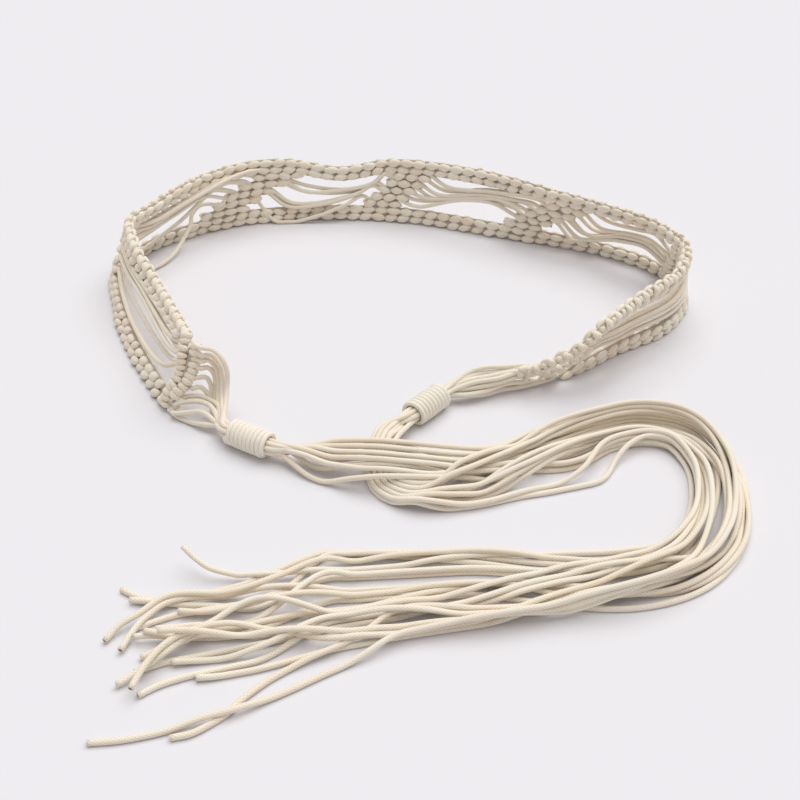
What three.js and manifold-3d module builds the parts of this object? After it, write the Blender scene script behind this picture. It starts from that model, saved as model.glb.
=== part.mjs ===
// Waist belt knotted from cotton cord: a pierced band standing as an open ring, and two cord tassels.
// Millimetres, +Z up. The floor is z = 0 and the origin is the middle of the laid-out belt in plan.
import * as THREE from 'three';
import { mergeVertices } from 'three/addons/utils/BufferGeometryUtils.js';
import Module from 'manifold-3d';

const wasm = await Module();
wasm.setup();

// Driving dimensions
const bandLength = 749; // along the lower edge
const bandWidth = 44; // lower edge to upper edge
const bandThickness = 6; // two cords, as the knots are
const railWidth = 12; // knotted edge beside each window
const barWidth = 17; // knotted bar, measured along the band
const endBarWidth = 13; // the upright bar at the left end
const looseCordDiameter = 4; // a pair of loose cords in a window
const lockDiameter = 4.2; // a lock stands for two tassel cords
const locksPerTassel = 5;
const layerGap = 0.8; // air between a cord and the one that lies on it
const wrapLength = 25;
const wrapTurns = 10;
const wrapCord = 2.5; // thickness of the whipping
const boreRadius = 4.5; // inside the whipping
const fit = 0.3; // clearance between pieces that meet
const neckLength = 9; // tassel neck that stands out of its wrap
const footHeight = 4; // the lower edge is pressed flat over this height

// Facets
const bandSteps = 60;
const bandRows = 1;
const lockSides = 6;
const lockStep = 17; // length of a facet along a tassel
const cutStep = 14; // length of a facet along a window
const looseCordFacets = 6;
const looseCordSides = 5;
const overcut = 6; // how far a cutter reaches past what it cuts
const rowStep = 7; // spacing of the points that a lock is drawn through
const bridge = 1; // points on each side of a crossing where a lock is still held up
const wrapSides = 12;

const cotton = { color: 0xddd3bd, roughness: 0.85, metalness: 0 };

// Route of the band's lower edge round the waist, from the left end over the left corner, the back and the
// right corner, in shares of bandLength. lean is how far the upper edge falls inward, in degrees, and width a
// share of bandWidth.
const ring = [
  { x: -0.156, y: -0.021, lean: 26, width: 1 },
  { x: -0.183, y: 0.025, lean: 33, width: 1 },
  { x: -0.206, y: 0.073, lean: 33, width: 1 },
  { x: -0.223, y: 0.124, lean: 24, width: 1 },
  { x: -0.234, y: 0.176, lean: 22, width: 1 },
  { x: -0.214, y: 0.220, lean: 22, width: 1 },
  { x: -0.172, y: 0.255, lean: 8, width: 1 },
  { x: -0.126, y: 0.275, lean: -6, width: 1 },
  { x: -0.073, y: 0.283, lean: -9, width: 1 },
  { x: -0.020, y: 0.282, lean: -10, width: 1 },
  { x: 0.031, y: 0.271, lean: -10, width: 1 },
  { x: 0.080, y: 0.252, lean: -6, width: 1 },
  { x: 0.131, y: 0.234, lean: 9, width: 1 },
  { x: 0.183, y: 0.212, lean: 18, width: 1 },
  { x: 0.222, y: 0.178, lean: 18, width: 1 },
  { x: 0.234, y: 0.130, lean: 10, width: 1 },
  { x: 0.210, y: 0.084, lean: -4, width: 1 },
  { x: 0.166, y: 0.053, lean: -15, width: 1 },
  { x: 0.131, y: 0.027, lean: -24, width: 1 },
  { x: 0.115, y: 0.017, lean: -28, width: 0.72 },
  { x: 0.100, y: 0.013, lean: -28, width: 0.5 },
  { x: 0.085, y: 0.011, lean: -28, width: 0.37 },
];

// Knotted bars: the middle of each as a share of bandLength, how far it leans along the band for its height,
// and its measure along the band
const bars = [
  { middle: -0.001, slant: 0, width: endBarWidth },
  { middle: 0.212, slant: 1, width: barWidth },
  { middle: 0.372, slant: 1, width: barWidth },
  { middle: 0.504, slant: 1, width: barWidth },
  { middle: 0.64, slant: 1, width: barWidth },
  { middle: 0.794, slant: 1, width: barWidth },
  { middle: 0.959, slant: 1, width: barWidth },
];

// Loose cords of a window: their height in the window, as shares, where they leave one bar, along their way
// and where they enter the next
const looseCords = [
  { leave: 0.84, early: 0.62, late: 0.6, enter: 0.68 },
  { leave: 0.52, early: 0.42, late: 0.42, enter: 0.38 },
  { leave: 0.22, early: 0.2, late: 0.26, enter: 0.1 },
];

const leftWrapEnds = { inlet: [-80, -42], outlet: [-59, -55] };
const rightWrapEnds = { inlet: [26, -10], outlet: [9, -30] };

// Cords between the band's end and the wrap: where they leave the bar, as a share of its height, and where
// they pass on the way, in plan and height
const leftGatherCords = [
  { leave: 0.1, via: [-105, -25, 5] },
  { leave: 0.35, via: [-100, -29, 10] },
  { leave: 0.6, via: [-90, -17, 15] },
  { leave: 0.84, via: [-81, -16, 16] },
];
const rightGatherCords = [
  { leave: 0.12, via: [57, 5, 3] },
  { leave: 0.37, via: [54, 8, 7] },
  { leave: 0.62, via: [51, 5, 12] },
  { leave: 0.86, via: [48, 0, 14] },
];

// Routes of the two tassels. rise is in layers of cord above the floor, spread is half the tassel's width, and
// slide is 0 where the right tassel lies on the left one and 1 where they lie side by side.
const leftLead = [
  { x: -44, y: -61, rise: 0.7, spread: 6, slide: 0 },
  { x: -25, y: -67, rise: 1, spread: 9, slide: 0 },
  { x: -5, y: -68, rise: 1, spread: 10.5, slide: 0 },
  { x: 16, y: -64, rise: 0.65, spread: 10.5, slide: 0 },
  { x: 38, y: -60, rise: 0, spread: 11.5, slide: 0 },
  { x: 61, y: -54, rise: 0, spread: 11.5, slide: 0 },
];
const rightLead = [
  { x: 3, y: -38, rise: 0.3, spread: 7, slide: 0 },
  { x: -5, y: -50, rise: 0, spread: 10.5, slide: 0 },
  { x: -10, y: -66, rise: 0, spread: 10.5, slide: 0 },
  { x: -7, y: -83, rise: 0, spread: 10.5, slide: 0 },
  { x: 6, y: -95, rise: 0, spread: 10.5, slide: 0 },
  { x: 22, y: -98, rise: 0, spread: 10.5, slide: 0 },
  { x: 39, y: -90, rise: 0.6, spread: 11, slide: 0 },
  { x: 57, y: -74, rise: 1, spread: 11.5, slide: 0 },
];
const joined = [
  { x: 83, y: -47, rise: 0, spread: 11.5, slide: 0 },
  { x: 105, y: -34, rise: 0, spread: 11.5, slide: 0 },
  { x: 125, y: -31, rise: 0, spread: 11.5, slide: 0 },
  { x: 143, y: -41, rise: 0, spread: 11.5, slide: 0 },
  { x: 153, y: -62, rise: 0, spread: 11.5, slide: 0 },
  { x: 152, y: -88, rise: 0, spread: 12, slide: 0 },
  { x: 143, y: -115, rise: 0, spread: 12.5, slide: 0 },
  { x: 127, y: -134, rise: 0, spread: 14, slide: 0.1 },
  { x: 102, y: -145, rise: 0, spread: 18, slide: 0.35 },
  { x: 70, y: -149, rise: 0, spread: 23, slide: 0.7 },
  { x: 37, y: -152, rise: 0, spread: 27, slide: 1 },
  { x: 4, y: -156, rise: 0, spread: 29, slide: 1 },
  { x: -29, y: -161, rise: 0, spread: 32, slide: 1 },
  { x: -56, y: -167, rise: 0, spread: 36, slide: 1 },
  { x: -79, y: -173, rise: 0, spread: 41, slide: 1 },
  { x: -105, y: -181, rise: 0, spread: 46, slide: 1 },
];

// Where each lock stops, as a share of its tassel's route
const leftEnds = [1, 0.985, 0.97, 0.99, 0.975];
const rightEnds = [0.985, 0.965, 0.99, 0.97, 1];

function meshFrom(name, geometry) {
  const mesh = new THREE.Mesh(geometry, new THREE.MeshStandardMaterial(cotton));
  mesh.name = name;
  return mesh;
}

function solidFrom(geometry) {
  const bare = geometry.clone();
  bare.deleteAttribute('normal');
  bare.deleteAttribute('uv');
  const merged = mergeVertices(bare, 1e-4);
  return new wasm.Manifold(new wasm.Mesh({
    numProp: 3,
    vertProperties: new Float32Array(merged.attributes.position.array),
    triVerts: new Uint32Array(merged.index.array),
  }));
}

function geometryFrom(solid) {
  const mesh = solid.getMesh();
  const geometry = new THREE.BufferGeometry();
  geometry.setAttribute('position', new THREE.BufferAttribute(new Float32Array(mesh.vertProperties), 3));
  geometry.setIndex(new THREE.BufferAttribute(new Uint32Array(mesh.triVerts), 1));
  return geometry;
}

function polygonShape(corners) {
  return new THREE.Shape(corners.map(([x, y]) => new THREE.Vector2(x, y)));
}

function regularShape(radius, sides) {
  const corner = (k) => {
    const angle = (2 * Math.PI * (k + 0.5)) / sides;
    return [radius * Math.cos(angle), radius * Math.sin(angle)];
  };
  return polygonShape(Array.from({ length: sides }, (_, k) => corner(k)));
}

function tube(points, diameter, step, sides = lockSides) {
  const path = new THREE.CatmullRomCurve3(points, false, 'centripetal');
  const steps = Math.max(2, Math.round(path.getLength() / step));
  return new THREE.ExtrudeGeometry(regularShape(diameter / 2, sides), { extrudePath: path, steps });
}

// The band is made flat, x along it, y up its width and z through it to the ring's inside, and then bent.
const footLine = new THREE.CatmullRomCurve3(
  ring.map((row) => new THREE.Vector3(row.x, row.y, 0).multiplyScalar(bandLength)), false, 'centripetal',
);
footLine.arcLengthDivisions = 800;
const stance = new THREE.CatmullRomCurve3(
  ring.map((row) => new THREE.Vector3(THREE.MathUtils.degToRad(row.lean), row.width, 0)), false, 'catmullrom',
);

function bandPoint(along, up, through) {
  const reached = THREE.MathUtils.clamp(along, 0, bandLength);
  const t = footLine.getUtoTmapping(reached / bandLength);
  const way = footLine.getTangent(t);
  const foot = footLine.getPoint(t).addScaledVector(way, along - reached);
  const inward = new THREE.Vector3(way.y, -way.x, 0);
  const { x: lean, y: width } = stance.getPoint(t);
  const height = up * width;
  const pressed = Math.min(1, Math.max(0, height / footHeight));
  return foot
    .addScaledVector(inward, height * Math.sin(lean) + through * Math.cos(lean))
    .setZ(height * Math.cos(lean) - through * Math.sin(lean) * pressed);
}

function bend(geometry) {
  const spots = geometry.attributes.position;
  for (let k = 0; k < spots.count; k += 1) {
    const p = bandPoint(spots.getX(k), spots.getY(k), spots.getZ(k));
    spots.setXYZ(k, p.x, p.y, p.z);
  }
  return geometry;
}

// Where the side of a bar lies along the band at height y
function barSide(bar, side, y) {
  return bar.middle * bandLength + (side * bar.width) / 2 + bar.slant * (y - bandWidth / 2);
}

// Cutter between two slanted sides, each a place along the band for a height, from one height to another
function slantedCutter(from, to, low, high) {
  const depth = bandThickness + 2 * overcut;
  const steps = Math.ceil((to(low) - from(low)) / cutStep);
  const cutter = new THREE.BoxGeometry(1, high - low, depth, steps, 1, 1);
  const spots = cutter.translate(0.5, (low + high) / 2, 0).attributes.position;
  for (let k = 0; k < spots.count; k += 1) {
    const y = spots.getY(k);
    spots.setX(k, THREE.MathUtils.lerp(from(y), to(y), spots.getX(k)));
  }
  return solidFrom(bend(cutter));
}

function windowCords(from, to) {
  const cordPoint = (share, height) => {
    const y = railWidth + height * (bandWidth - 2 * railWidth);
    const start = barSide(from, 1, y) - looseCordDiameter;
    const end = barSide(to, -1, y) + looseCordDiameter;
    return bandPoint(THREE.MathUtils.lerp(start, end, share), y, 0);
  };
  return looseCords.map((row) => {
    const route = new THREE.CatmullRomCurve3([
      new THREE.Vector3(0, row.leave, 0), new THREE.Vector3(0.3, row.early, 0),
      new THREE.Vector3(0.65, row.late, 0), new THREE.Vector3(1, row.enter, 0),
    ]);
    const points = route.getPoints(looseCordFacets).map(({ x, y }) => cordPoint(x, y));
    return solidFrom(tube(points, looseCordDiameter, lockStep, looseCordSides));
  });
}

function bandSolid() {
  const start = barSide(bars[0], -1, 0);
  const length = bandLength - start;
  const blank = new THREE.BoxGeometry(length, bandWidth, bandThickness, bandSteps, bandRows, 1);
  const rightEnd = (y) => barSide(bars.at(-1), 1, y);
  const beyond = (y) => rightEnd(y) + bandWidth + overcut;
  let band = solidFrom(bend(blank.translate(start + length / 2, bandWidth / 2, 0)));
  band = band.subtract(slantedCutter(rightEnd, beyond, -overcut, bandWidth + overcut));
  for (let k = 0; k + 1 < bars.length; k += 1) {
    const from = (y) => barSide(bars[k], 1, y);
    const to = (y) => barSide(bars[k + 1], -1, y);
    band = band.subtract(slantedCutter(from, to, railWidth, bandWidth - railWidth));
    for (const cord of windowCords(bars[k], bars[k + 1])) band = band.add(cord);
  }
  return band;
}

const wrapRadius = boreRadius + wrapCord;

function wrapFrame({ inlet, outlet }) {
  const start = new THREE.Vector3(...inlet, wrapRadius);
  const way = new THREE.Vector3(...outlet, wrapRadius).sub(start).normalize();
  return { start, way };
}

function wrapGeometry(ends) {
  const pitch = wrapLength / wrapTurns;
  const profile = [new THREE.Vector2(boreRadius, wrapLength), new THREE.Vector2(boreRadius, 0)];
  const valley = wrapRadius - wrapCord / 3;
  for (let turn = 0; turn < wrapTurns; turn += 1) {
    profile.push(new THREE.Vector2(valley, turn * pitch));
    profile.push(new THREE.Vector2(wrapRadius, (turn + 0.5) * pitch));
  }
  profile.push(new THREE.Vector2(valley, wrapLength));
  profile.push(profile[0].clone());
  const sleeve = new THREE.LatheGeometry(profile, wrapSides);
  const { start, way } = wrapFrame(ends);
  const across = new THREE.Vector3(0, 0, 1);
  const turned = new THREE.Matrix4().makeBasis(new THREE.Vector3().crossVectors(way, across), way, across);
  return sleeve.applyMatrix4(turned).translate(start.x, start.y, start.z);
}

const neckRadius = boreRadius - fit;

function neckTube(ends, from, to) {
  const { start, way } = wrapFrame(ends);
  const path = new THREE.LineCurve3(
    start.clone().addScaledVector(way, from), start.clone().addScaledVector(way, to),
  );
  return new THREE.ExtrudeGeometry(regularShape(neckRadius, 2 * lockSides), { extrudePath: path, steps: 1 });
}

const lockOffsets = Array.from({ length: locksPerTassel }, (_, k) => k - (locksPerTassel - 1) / 2);

// What is left of a solid at least half a fit, and about one fit, away from another
function clearOf(solid, other) {
  const shifts = [[fit, 0, 0], [-fit, 0, 0], [0, fit, 0], [0, -fit, 0], [0, 0, fit], [0, 0, -fit]];
  return shifts.reduce((left, shift) => left.subtract(other.translate(shift)), solid);
}

// Cords from the bar at the band's end to the middle of the wrap, cut clear of the band
function gatherSolid(cords, ends, bar, side, band) {
  const { start, way } = wrapFrame(ends);
  let solid = solidFrom(neckTube(ends, -neckLength / 2, wrapLength / 2 - fit / 2));
  cords.forEach((cord, k) => {
    const y = cord.leave * bandWidth;
    const lead = bandPoint(barSide(bar, side, y) - (side * bar.width) / 4, y, 0);
    const turn = (Math.PI * (k + 0.5)) / cords.length;
    const beside = new THREE.Vector3(-way.y, way.x, 0).multiplyScalar(-side * Math.cos(turn) * neckRadius * 0.5);
    const entry = start.clone().add(beside).setZ(wrapRadius + (Math.sin(turn) - 0.5) * neckRadius * 0.6);
    const points = [
      lead,
      bandPoint(barSide(bar, side, y) - side * 0.5, y, 0),
      new THREE.Vector3(...cord.via),
      entry.clone().addScaledVector(way, -neckLength * 0.7),
      entry.clone().addScaledVector(way, -fit),
    ];
    solid = solid.add(solidFrom(tube(points, lockDiameter, lockStep / 2)));
  });
  return clearOf(solid, band);
}

const lockPitch = lockDiameter + layerGap;

// Height of a right-hand lock's underside over the left tassel's locks, which lie at the given offsets
function restHeight(offset, below) {
  const reach = below.map((other) => Math.sqrt(Math.max(0, lockPitch ** 2 - (offset - other) ** 2)));
  return Math.max(...reach);
}

function laneOffset(row, lock, side) {
  const stacked = lockOffsets[lock] / (locksPerTassel / 2);
  const beside = (lockOffsets[lock] + (side * locksPerTassel) / 2) / locksPerTassel;
  return row.spread * THREE.MathUtils.lerp(stacked, beside, row.slide);
}

// Rows at even steps along a smooth route through the given ones, with how far along them each lies
function denseRows(rows) {
  const places = new THREE.CatmullRomCurve3(
    rows.map((row) => new THREE.Vector3(row.x, row.y, row.rise)), false, 'centripetal',
  );
  const forms = new THREE.CatmullRomCurve3(
    rows.map((row) => new THREE.Vector3(row.spread, row.slide, 0)), false, 'catmullrom',
  );
  const count = Math.round(places.getLength() / rowStep);
  return Array.from({ length: count + 1 }, (_, k) => {
    const t = places.getUtoTmapping(k / count);
    const { x, y, z: rise } = places.getPoint(t);
    const { x: spread, y: slide } = forms.getPoint(t);
    return { x, y, rise, spread, slide, row: t * (rows.length - 1) };
  });
}

function lockPoints(rows, lead, lock, side) {
  const rests = rows.map((row) => {
    const below = lockOffsets.map((_, other) => laneOffset(row, other, -side));
    return side > 0 && row.row >= lead - 1 ? restHeight(laneOffset(row, lock, side), below) : 0;
  });
  return rows.map((row, k) => {
    const before = rows[Math.max(0, k - 1)];
    const after = rows[Math.min(rows.length - 1, k + 1)];
    const way = new THREE.Vector2(after.x - before.x, after.y - before.y).normalize();
    const offset = laneOffset(row, lock, side);
    // A cord bridges to its neighbouring stations rather than dropping straight off what it lies on
    const bridged = Math.max(...rests.slice(Math.max(0, k - bridge), k + bridge + 1));
    const z = lockDiameter / 2 + Math.max(row.rise * lockPitch, bridged);
    return new THREE.Vector3(row.x - way.y * offset, row.y + way.x * offset, z);
  });
}

function tasselSolid(lead, ends, side, shares) {
  const { start, way } = wrapFrame(ends);
  const rows = denseRows([...lead, ...joined]);
  let solid = solidFrom(neckTube(ends, wrapLength / 2 + fit / 2, wrapLength + neckLength / 2));
  shares.forEach((share, lock) => {
    const beside = new THREE.Vector3(-way.y, way.x, 0);
    const angle = (Math.PI * (lock + 0.5)) / shares.length;
    const exit = start.clone().addScaledVector(way, wrapLength + fit)
      .addScaledVector(beside, -Math.cos(angle) * neckRadius * 0.5)
      .setZ(wrapRadius + (Math.sin(angle) - 0.6) * neckRadius * 0.6);
    const points = [exit, exit.clone().addScaledVector(way, neckLength * 0.6), ...lockPoints(rows, lead.length, lock, side)];
    const route = new THREE.CatmullRomCurve3(points, false, 'centripetal');
    const count = Math.round(route.getLength() * share / lockStep);
    const kept = Array.from({ length: count + 1 }, (_, k) => route.getPointAt((k * share) / count));
    solid = solid.add(solidFrom(tube(kept, lockDiameter, lockStep)));
  });
  return solid;
}

const band = bandSolid();
const group = new THREE.Group();
group.add(
  meshFrom('knotted_band', geometryFrom(band)),
  meshFrom('left_gather', geometryFrom(gatherSolid(leftGatherCords, leftWrapEnds, bars[0], -1, band))),
  meshFrom('right_gather', geometryFrom(gatherSolid(rightGatherCords, rightWrapEnds, bars.at(-1), 1, band))),
  meshFrom('left_wrap', wrapGeometry(leftWrapEnds)),
  meshFrom('right_wrap', wrapGeometry(rightWrapEnds)),
  meshFrom('left_tassel', geometryFrom(tasselSolid(leftLead, leftWrapEnds, -1, leftEnds))),
  meshFrom('right_tassel', geometryFrom(tasselSolid(rightLead, rightWrapEnds, 1, rightEnds))),
);

export default group;
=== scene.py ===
import math

import bpy
import numpy as np
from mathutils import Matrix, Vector
from mathutils.kdtree import KDTree


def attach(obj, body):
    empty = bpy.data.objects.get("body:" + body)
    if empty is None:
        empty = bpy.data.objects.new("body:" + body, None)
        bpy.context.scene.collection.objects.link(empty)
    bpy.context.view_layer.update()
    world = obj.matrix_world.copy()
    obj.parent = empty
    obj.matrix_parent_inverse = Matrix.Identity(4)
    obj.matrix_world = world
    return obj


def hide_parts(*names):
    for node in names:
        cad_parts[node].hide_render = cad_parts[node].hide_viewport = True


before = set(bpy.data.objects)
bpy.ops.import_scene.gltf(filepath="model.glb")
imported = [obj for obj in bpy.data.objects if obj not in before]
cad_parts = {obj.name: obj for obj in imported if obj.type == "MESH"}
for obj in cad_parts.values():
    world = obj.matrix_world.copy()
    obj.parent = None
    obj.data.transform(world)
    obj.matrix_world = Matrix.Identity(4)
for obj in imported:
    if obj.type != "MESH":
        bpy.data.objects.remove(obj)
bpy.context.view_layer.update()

# Lengths are in millimetres up to addPiece, which makes metres of them.

# Camera

cameraLook = {
    "place": (4, -467, 323),
    "down": 35,  # degrees below the horizon
    "lens": 48.2,
}
camera = bpy.data.objects.new("camera", bpy.data.cameras.new("camera"))
bpy.context.scene.collection.objects.link(camera)
camera.location = [0.001 * v for v in cameraLook["place"]]
camera.rotation_euler = (math.radians(90 - cameraLook["down"]), 0, 0)
camera.data.lens = cameraLook["lens"]
camera.data.sensor_width = 36
camera.data.dof.use_dof = False
bpy.context.scene.camera = camera
bpy.context.scene.view_settings.view_transform = "Standard"
bpy.context.scene.view_settings.look = "None"


# Lines

def unit(v):
    return v / np.maximum(np.linalg.norm(v, axis=-1, keepdims=True), 1e-9)


def lengthsAlong(points):
    return np.concatenate([[0], np.cumsum(np.linalg.norm(np.diff(points, axis=0), axis=1))])


# Smooth line through rows of numbers; at counts in rows. byDistance sets its speed by the gaps between them
def through(rows, at, byDistance=True):
    rows = np.asarray(rows, float)
    full = np.vstack([2 * rows[0] - rows[1], rows, 2 * rows[-1] - rows[-2]])
    at = np.clip(np.asarray(at, float), 0, len(rows) - 1)
    k = np.minimum(at.astype(int), len(rows) - 2)
    w = (at - k)[:, None]
    a, b, c, d = (full[k + i] for i in range(4))
    leave, arrive = (c - a) / 2, (d - b) / 2
    if byDistance:
        g, h, i = (
            np.sqrt(np.linalg.norm(q - p, axis=1, keepdims=True)) for p, q in ((a, b), (b, c), (c, d))
        )
        leave = ((b - a) / g - (c - a) / (g + h) + (c - b) / h) * h
        arrive = ((c - b) / h - (d - b) / (h + i) + (d - c) / i) * h
    return b + leave * w + (3 * (c - b) - 2 * leave - arrive) * w**2 + (2 * (b - c) + leave + arrive) * w**3


def evenly(points, step):
    along = lengthsAlong(points)
    want = np.linspace(0, along[-1], max(2, round(along[-1] / step)) + 1)
    return np.stack([np.interp(want, along, points[:, k]) for k in range(points.shape[1])], 1)


def smoothLine(rows, step=1.5):
    return evenly(through(rows, np.linspace(0, len(rows) - 1, 20 * len(rows))), step)


def easing(x):
    x = np.clip(x, 0, 1)
    return x * x * (3 - 2 * x)


# A slow random wave, the same each time for the same seed
def wave(along, spacing, seed):
    spots = np.random.default_rng(seed).normal(0, 1, int(along[-1] / spacing) + 4)
    return through(spots[:, None], along / spacing, False)[:, 0]


# Meshes from arrays

class Strands:
    # Collects the tubes and knots of one piece
    def __init__(self):
        self.points, self.faces, self.sizes, self.ring, self.tint, self.core = [], [], [], [], [], []
        self.count = 0

    # sections: rings of a tube, all with as many points. along: how far along the cord each of them is
    def add(self, sections, along, tint, cut=(False, False), shade=0.0):
        rings, sides = sections.shape[:2]
        k, j = (g.ravel() for g in np.meshgrid(np.arange(rings - 1), np.arange(sides), indexing="ij"))
        after = (j + 1) % sides
        quads = np.stack([k * sides + j, k * sides + after, (k + 1) * sides + after, (k + 1) * sides + j], 1)
        ring = np.stack([
            np.stack([j, j + 1, j + 1, j], 1) / sides,
            np.stack([along[k], along[k], along[k + 1], along[k + 1]], 1),
        ], -1)
        ends = np.stack([np.arange(sides)[::-1], (rings - 1) * sides + np.arange(sides)])
        self.points.append(sections.reshape(-1, 3))
        self.faces.append(np.concatenate([quads.ravel(), ends.ravel()]) + self.count)
        self.sizes.append(np.concatenate([np.full(len(quads), 4), [sides, sides]]))
        self.ring.append(np.concatenate([ring.reshape(-1, 2), np.zeros((2 * sides, 2))]))
        self.tint.append(np.full(rings * sides, tint))
        # core: how far each point takes the dark colour, painted shade of cut ends' hollows and of gaps
        # between knots
        core = np.full((rings, sides), shade)
        core[0], core[-1] = np.maximum(cut, shade)
        self.core.append(core.ravel())
        self.count += rings * sides

    def mesh(self, name):
        points, faces, sizes = (np.concatenate(part) for part in (self.points, self.faces, self.sizes))
        mesh = bpy.data.meshes.new(name)
        mesh.vertices.add(len(points))
        mesh.vertices.foreach_set("co", (0.001 * points).astype(np.float32).ravel())
        mesh.loops.add(len(faces))
        mesh.loops.foreach_set("vertex_index", faces.astype(np.int32))
        mesh.polygons.add(len(sizes))
        starts = np.concatenate([[0], np.cumsum(sizes)[:-1]])
        mesh.polygons.foreach_set("loop_start", starts.astype(np.int32))
        mesh.update(calc_edges=True)
        layer = mesh.uv_layers.new(name="cord")
        layer.data.foreach_set("uv", np.concatenate(self.ring).astype(np.float32).ravel())
        for label, values in (("tint", self.tint), ("core", self.core)):
            mesh.attributes.new(label, "FLOAT", "POINT").data.foreach_set(
                "value", np.concatenate(values).astype(np.float32))
        mesh.polygons.foreach_set("use_smooth", np.ones(len(sizes), bool))
        mesh.update()
        return mesh


def addPiece(name, strands, material, nodes):
    piece = bpy.data.objects.new(name, strands.mesh(name))
    bpy.context.scene.collection.objects.link(piece)
    piece.data.materials.append(material)
    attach(piece, "root")
    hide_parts(*nodes)
    return piece


# Directions beside and above a line at each of its points, turning with it as little as they can
def carriedFrame(centres, firstSide=None):
    way = unit(np.gradient(centres, axis=0))
    side = np.empty_like(way)
    last = np.cross(way[0], (0, 0, 1)) if firstSide is None else np.asarray(firstSide, float)
    for k, w in enumerate(way):
        last = last - w * (last @ w)
        last = last / max(np.linalg.norm(last), 1e-9)
        side[k] = last
    return side, np.cross(side, way)


def sectionsAt(centres, side, above, halfWidth, halfHeight, sides):
    angle = 2 * np.pi * (np.arange(sides) + 0.5) / sides
    wide = np.broadcast_to(halfWidth, len(centres))[:, None, None]
    high = np.broadcast_to(halfHeight, len(centres))[:, None, None]
    return (
        centres[:, None]
        + wide * np.cos(angle)[None, :, None] * side[:, None]
        + high * np.sin(angle)[None, :, None] * above[:, None]
    )


# A round cord. A cut end's flat face is painted with the shade of its hollow; any other end closes inside a
# knot.
def roundCord(strands, centres, radius, tint, sides=10, cut=(False, False), start=0.0):
    side, above = carriedFrame(centres)
    along = start + lengthsAlong(centres)
    which, share = np.arange(len(centres)), np.ones(len(centres))
    if cut[0]:
        which, share = np.concatenate([[0, 0], which]), np.concatenate([[0.4, 0.88], share])
    if cut[1]:
        last = len(centres) - 1
        which, share = np.concatenate([which, [last, last]]), np.concatenate([share, [0.88, 0.4]])
    sections = sectionsAt(centres[which], side[which], above[which], radius * share, radius * share, sides)
    strands.add(sections, along[which], tint, cut)


# Materials

class Shade:
    # One value in a shader; sums and products of these make its nodes
    def __init__(self, tree, socket=None):
        self.tree, self.socket = tree, socket

    def node(self, kind, settings, inputs, output=0):
        made = self.tree.nodes.new(kind)
        for key, value in settings.items():
            setattr(made, key, value)
        for key, value in inputs.items():
            if isinstance(value, Shade):
                self.tree.links.new(value.socket, made.inputs[key])
            else:
                made.inputs[key].default_value = value
        return Shade(self.tree, made.outputs[output])

    def maths(self, operation, *values):
        return self.node("ShaderNodeMath", {"operation": operation}, dict(enumerate(values)))

    def __add__(self, other):
        return self.maths("ADD", self, other)

    def __sub__(self, other):
        return self.maths("SUBTRACT", self, other)

    def __mul__(self, other):
        return self.maths("MULTIPLY", self, other)

    def sine(self):
        return self.maths("SINE", self)

    # a colour between low and high, by this value
    def blend(self, low, high):
        return self.node("ShaderNodeMix", {"data_type": "RGBA"}, {0: self, 6: low, 7: high}, 2)


def cordMaterial(name, look):
    material = bpy.data.materials.new(name)
    material.use_nodes = True
    tree = material.node_tree
    shader = tree.nodes["Principled BSDF"]
    value = Shade(tree)
    layer = value.node("ShaderNodeUVMap", {"uv_map": "cord"}, {})
    around = value.node("ShaderNodeSeparateXYZ", {}, {0: layer}, 0)
    along = value.node("ShaderNodeSeparateXYZ", {}, {0: layer}, 1)
    tint = value.node("ShaderNodeAttribute", {"attribute_name": "tint"}, {}, 2)
    core = value.node("ShaderNodeAttribute", {"attribute_name": "core"}, {}, 2)
    place = value.node("ShaderNodeTexCoord", {}, {}, 3)
    fibre, patch = (
        value.node("ShaderNodeTexNoise", {}, {"Vector": place, "Scale": scale, "Detail": detail})
        for scale, detail in (look["fibreNoise"], look["patchNoise"])
    )
    turns, pace = 2 * math.pi * look["strands"], 2 * math.pi / look["stitch"]
    across, onward = around * turns, along * pace
    braid = value.maths("MAXIMUM", (across + onward).sine(), (across - onward).sine())
    height = braid * 0.5 + 0.5
    cotton = tint.blend(look["warm"], look["pale"])
    cotton = (patch * 1.6 - 0.45).blend(cotton, look["cool"])
    # painted shade: the braid's dips, with a little fibre noise, darken toward the groove shade colour
    raised = height * look["grooveShading"] + (1 - look["grooveShading"]) + fibre * 0.1 - 0.05
    cotton = raised.blend(look["grooveShade"], cotton)
    # painted shade: cut ends' hollows and the strips in the gaps between knots darken toward the core colour
    cotton = core.blend(cotton, look["core"])
    tree.links.new(cotton.socket, shader.inputs["Base Color"])
    shader.inputs["Roughness"].default_value = look["roughness"]
    shader.inputs["Sheen Weight"].default_value = look["sheen"]
    shader.inputs["Sheen Roughness"].default_value = look["sheenRoughness"]
    shader.inputs["Specular IOR Level"].default_value = look["specular"]
    bump = value.node("ShaderNodeBump", {}, {
        "Strength": look["relief"], "Distance": look["reliefDepth"], "Height": height + fibre * 0.5,
    })
    tree.links.new(bump.socket, shader.inputs["Normal"])
    return material


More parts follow.
